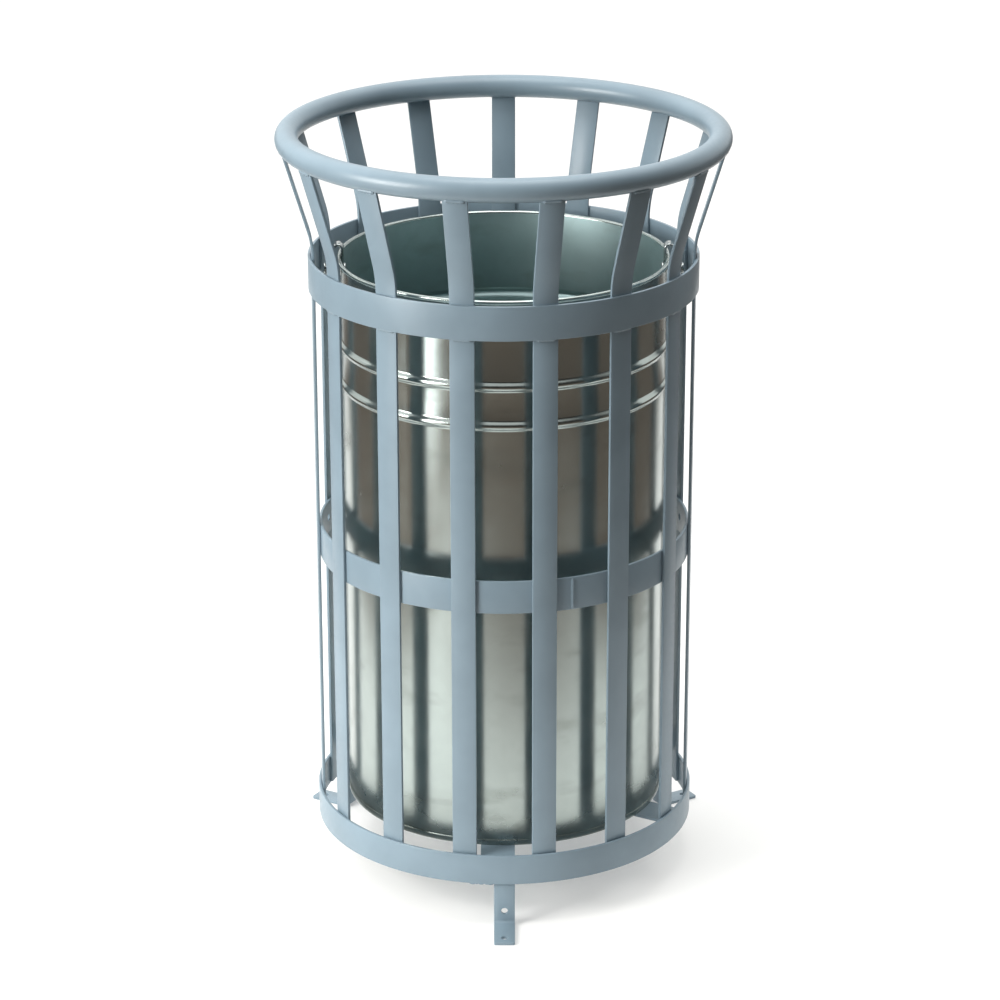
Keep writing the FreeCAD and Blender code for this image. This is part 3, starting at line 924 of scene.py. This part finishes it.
class BIN_OT_ears(bpy.types.Operator):
    """Folds the two ears over the rim"""
    bl_idname = "litter_bin.ears"
    bl_label = "Ears"

    def execute(self, context):
        sizes = context.scene.bin_liner
        for side, azimuth in (("right", math.pi / 2), ("left", -math.pi / 2)):
            node = "liner_ear_" + side
            low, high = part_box(node)
            across = sorted((abs(low.x), abs(high.x)))
            thick = sizes.ear_thickness
            inside = across[0] + thick
            outside = across[1] - thick
            fold = (outside - inside) / 2
            fold_level = high.z - fold - thick
            bm = bmesh.new()
            end = section(bm, sizes.ear_width, inside - thick, inside, low.z)
            end = run_on(bm, end, UP * (fold_level - low.z))
            centre = Vector((0, -inside - fold, fold_level))
            end = bend_on(bm, end, centre, math.pi, 14)
            run_on(bm, end, UP * (low.z - fold_level))
            close_strip(bm)
            feet = [edge for edge in bm.edges if self.crosses(edge, low.z)]
            ease_edges(bm, feet, sizes.ear_width * 0.49, 8)
            ease_edges(bm, sharp_edges(bm), sizes.ear_thickness * 0.3, 3)
            turn_to(bm, azimuth)
            piece("ear_strap_" + side, bm, finish("bright_zinc_plate"), "liner", [node])
        return {"FINISHED"}

    @staticmethod
    def crosses(edge, level):
        """Whether an edge lies through the thickness of a leg at its foot."""
        first, second = (vert.co for vert in edge.verts)
        at_foot = abs(first.z - level) < SAME_PLACE and abs(second.z - level) < SAME_PLACE
        return at_foot and abs(first.x - second.x) < SAME_PLACE


class BIN_OT_pins(bpy.types.Operator):
    """Turns the two headed pins that the bail swings on"""
    bl_idname = "litter_bin.pins"
    bl_label = "Pins"

    def execute(self, context):
        sizes = context.scene.bin_liner
        for side, azimuth in (("right", math.pi / 2), ("left", -math.pi / 2)):
            node = "liner_pin_" + side
            low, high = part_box(node)
            first, last = sorted((abs(low.x), abs(high.x)))
            level = (low.z + high.z) / 2
            head = sizes.pin_head_thickness
            profile = [
                (0.0, first), (sizes.pin_head_radius, first), (sizes.pin_head_radius, first + head),
                (sizes.pin_radius, first + head), (sizes.pin_radius, last - head),
                (sizes.pin_head_radius, last - head), (sizes.pin_head_radius, last), (0.0, last)]
            bm = bmesh.new()
            verts = [bm.verts.new((radius, -reach, level)) for radius, reach in profile]
            edges = [bm.edges.new(pair) for pair in zip(verts, verts[1:])]
            spin_round(bm, verts + edges, 32, OUTWARD, (0, 0, level))
            rims = [edge for edge in sharp_edges(bm) if self.at_rim(edge, level, sizes.pin_head_radius)]
            ease_edges(bm, rims, head * 0.4, 3)
            turn_to(bm, azimuth)
            piece("pin_turned_" + side, bm, finish("bright_zinc_plate"), "liner", [node])
        return {"FINISHED"}

    @staticmethod
    def at_rim(edge, level, radius):
        middle = (edge.verts[0].co + edge.verts[1].co) / 2
        return math.hypot(middle.x, middle.z - level) > 0.9 * radius


class BIN_OT_bail(bpy.types.Operator):
    """Bends the bail from round wire, with an eye at each end"""
    bl_idname = "litter_bin.bail"
    bl_label = "Bail"

    def execute(self, context):
        sizes = context.scene.bin_liner
        low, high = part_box("bail")
        wire = sizes.bail_wire_radius
        radius = high.x - wire
        _, _, top = rim()
        level = top - sizes.pin_drop
        eye = sizes.pin_radius + sizes.bail_eye_clearance + wire
        droop = math.acos((high.y - wire) / radius) if high.y - wire < radius else 0.0
        gap = math.asin(eye / radius)
        bm = bmesh.new()
        place = Matrix.Translation((radius, 0, 0)) @ Matrix.Rotation(math.pi / 2, 4, "X")
        made = bmesh.ops.create_circle(bm, segments=WIRE_STEPS, radius=wire, matrix=place)
        bmesh.ops.rotate(bm, cent=(0, 0, 0), matrix=Matrix.Rotation(gap, 3, "Z"), verts=made["verts"])
        edges = list({edge for vert in made["verts"] for edge in vert.link_edges})
        bmesh.ops.spin(
            bm, geom=made["verts"] + edges, cent=(0, 0, 0), axis=UP, angle=math.pi - 2 * gap, steps=128)
        bmesh.ops.holes_fill(bm, edges=[edge for edge in bm.edges if edge.is_boundary], sides=0)
        for side in (-1, 1):
            eye_place = Matrix.Translation((side * radius, eye, 0))
            loop = bmesh.ops.create_circle(bm, segments=WIRE_STEPS, radius=wire, matrix=eye_place)
            around = list({edge for vert in loop["verts"] for edge in vert.link_edges})
            bmesh.ops.spin(
                bm, geom=loop["verts"] + around, cent=(side * radius, 0, 0), axis=SIDEWAYS,
                angle=FULL_TURN, steps=40, use_merge=True)
        bmesh.ops.remove_doubles(bm, verts=bm.verts, dist=MERGE_DISTANCE)
        bmesh.ops.recalc_face_normals(bm, faces=bm.faces)
        bmesh.ops.rotate(bm, cent=(0, 0, 0), matrix=Matrix.Rotation(-droop, 3, "X"), verts=bm.verts)
        bmesh.ops.translate(bm, verts=bm.verts, vec=UP * level)
        piece("bail_wire", bm, finish("bright_zinc_plate"), "bail", ["bail"])
        return {"FINISHED"}


# --- stage -----------------------------------------------------------------
def direction_to(azimuth, elevation):
    flat = math.cos(elevation)
    return Vector((math.sin(azimuth) * flat, -math.cos(azimuth) * flat, math.sin(elevation)))


def softbox(name, azimuth, elevation, distance, size, watts, tint, aim):
    """An area light on a sphere round a point, facing it; the angles are in degrees."""
    data = bpy.data.lights.new(name, "AREA")
    data.shape = "RECTANGLE"
    data.size, data.size_y = size
    data.energy = watts
    data.color = tint
    lamp = bpy.data.objects.new(name, data)
    lamp.location = aim + direction_to(math.radians(azimuth), math.radians(elevation)) * distance
    lamp.rotation_euler = (aim - lamp.location).to_track_quat("-Z", "Y").to_euler()
    lamp.visible_camera = False
    bpy.context.scene.collection.objects.link(lamp)
    return lamp


class BIN_OT_stage(bpy.types.Operator):
    """Sets the paper floor, the studio lights and the camera"""
    bl_idname = "litter_bin.stage"
    bl_label = "Stage"

    def execute(self, context):
        self.floor()
        self.lights(context)
        self.surroundings(context)
        self.camera(context)
        return {"FINISHED"}

    @staticmethod
    def floor():
        bm = bmesh.new()
        bmesh.ops.create_grid(bm, x_segments=24, y_segments=24, size=12.0)
        bmesh.ops.translate(bm, verts=bm.verts, vec=(0, 0, -0.0002))
        mesh = bpy.data.meshes.new("paper_floor")
        bm.to_mesh(mesh)
        bm.free()
        mesh.materials.append(finish("matt_paper_floor"))
        ground = bpy.data.objects.new("paper_floor", mesh)
        bpy.context.scene.collection.objects.link(ground)

    @staticmethod
    def lights(context):
        studio = context.scene.bin_studio
        middle = Vector((0, 0, (cad_low.z + cad_high.z) / 2))
        softbox(
            "key_softbox", -58, 19, 2.4, (1.1, 1.1), studio.key_strength, (1.0, 0.985, 0.96), middle)
        softbox(
            "top_softbox", 0, 89, 2.3, (1.4, 1.4), studio.top_strength, (1.0, 1.0, 0.99), middle)
        softbox(
            "white_card", -53, -7, 1.18, (0.34, 0.55), studio.card_strength, (0.97, 1.0, 1.0), middle)
        sun = bpy.data.lights.new("back_light", "SUN")
        sun.energy = studio.back_strength
        sun.angle = math.radians(110)
        lamp = bpy.data.objects.new("back_light", sun)
        towards = direction_to(math.radians(-135), math.radians(78))
        lamp.rotation_euler = (-towards).to_track_quat("-Z", "Y").to_euler()
        context.scene.collection.objects.link(lamp)

    @staticmethod
    def surroundings(context):
        """White studio behind, dim warm room in front."""
        world = bpy.data.worlds.new("studio_surroundings")
        world.use_nodes = True
        tree = world.node_tree
        tree.nodes.clear()
        place = add_node(tree, "ShaderNodeTexCoord").outputs["Generated"]
        depth = add_node(tree, "ShaderNodeSeparateXYZ", links={"Vector": place}).outputs["Y"]
        behind = remap(tree, depth, -0.25, 0.35, 0.0, 1.0)
        dim_room = (0.06, 0.055, 0.05, 1.0)
        white_studio = (1.05, 1.05, 1.03, 1.0)
        tint = blend_colours(tree, behind.outputs[0], dim_room, white_studio)
        glow = add_node(tree, "ShaderNodeBackground", values={"Strength": 1.0}, links={"Color": tint})
        add_node(tree, "ShaderNodeOutputWorld", links={"Surface": glow.outputs[0]})
        context.scene.world = world

    @staticmethod
    def camera(context):
        studio = context.scene.bin_studio
        data = bpy.data.cameras.new("studio_camera")
        data.sensor_width = 36.0
        data.lens = studio.focal_length
        camera = bpy.data.objects.new("studio_camera", data)
        pitch, yaw, roll = studio.camera_pitch, studio.camera_yaw, studio.camera_roll
        forward = Vector((
            math.sin(yaw) * math.cos(pitch), math.cos(yaw) * math.cos(pitch), -math.sin(pitch)))
        right = forward.cross(UP).normalized()
        above = right.cross(forward)
        tipped_right = right * math.cos(roll) + above * math.sin(roll)
        tipped_above = above * math.cos(roll) - right * math.sin(roll)
        turn = Matrix((tipped_right, tipped_above, -forward)).transposed().to_4x4()
        place = Matrix.Translation((0, -studio.camera_distance, studio.camera_height))
        camera.matrix_world = place @ turn
        context.scene.collection.objects.link(camera)
        context.scene.camera = camera
        context.scene.view_settings.view_transform = "Standard"


class BIN_PT_panel(bpy.types.Panel):
    """Lists the pieces of the litter bin"""
    bl_idname = "BIN_PT_panel"
    bl_label = "Litter bin"
    bl_space_type = "VIEW_3D"
    bl_region_type = "UI"
    bl_category = "Litter bin"

    def draw(self, context):
        for group in ("bin_cage", "bin_liner", "bin_colours", "bin_studio"):
            settings = getattr(context.scene, group)
            box = self.layout.box()
            for name in settings.__annotations__:
                box.prop(settings, name)
        for operator in OPERATORS:
            self.layout.operator(operator.bl_idname)


GROUPS = {
    "bin_cage": CageSizes, "bin_liner": LinerSizes,
    "bin_colours": FinishColours, "bin_studio": StudioSettings}
OPERATORS = (
    BIN_OT_ring, BIN_OT_bands, BIN_OT_slats, BIN_OT_feet, BIN_OT_welds, BIN_OT_liner_wall,
    BIN_OT_liner_base, BIN_OT_ears, BIN_OT_pins, BIN_OT_bail, BIN_OT_stage)


def register():
    for kind in (*GROUPS.values(), *OPERATORS, BIN_PT_panel):
        bpy.utils.register_class(kind)
    for name, group in GROUPS.items():
        setattr(bpy.types.Scene, name, PointerProperty(type=group))


def unregister():
    for name in GROUPS:
        delattr(bpy.types.Scene, name)
    for kind in reversed((*GROUPS.values(), *OPERATORS, BIN_PT_panel)):
        bpy.utils.unregister_class(kind)


def main():
    register()
    for operator in OPERATORS:
        group, name = operator.bl_idname.split(".")
        getattr(getattr(bpy.ops, group), name)()


if __name__ == "__main__":
    main()
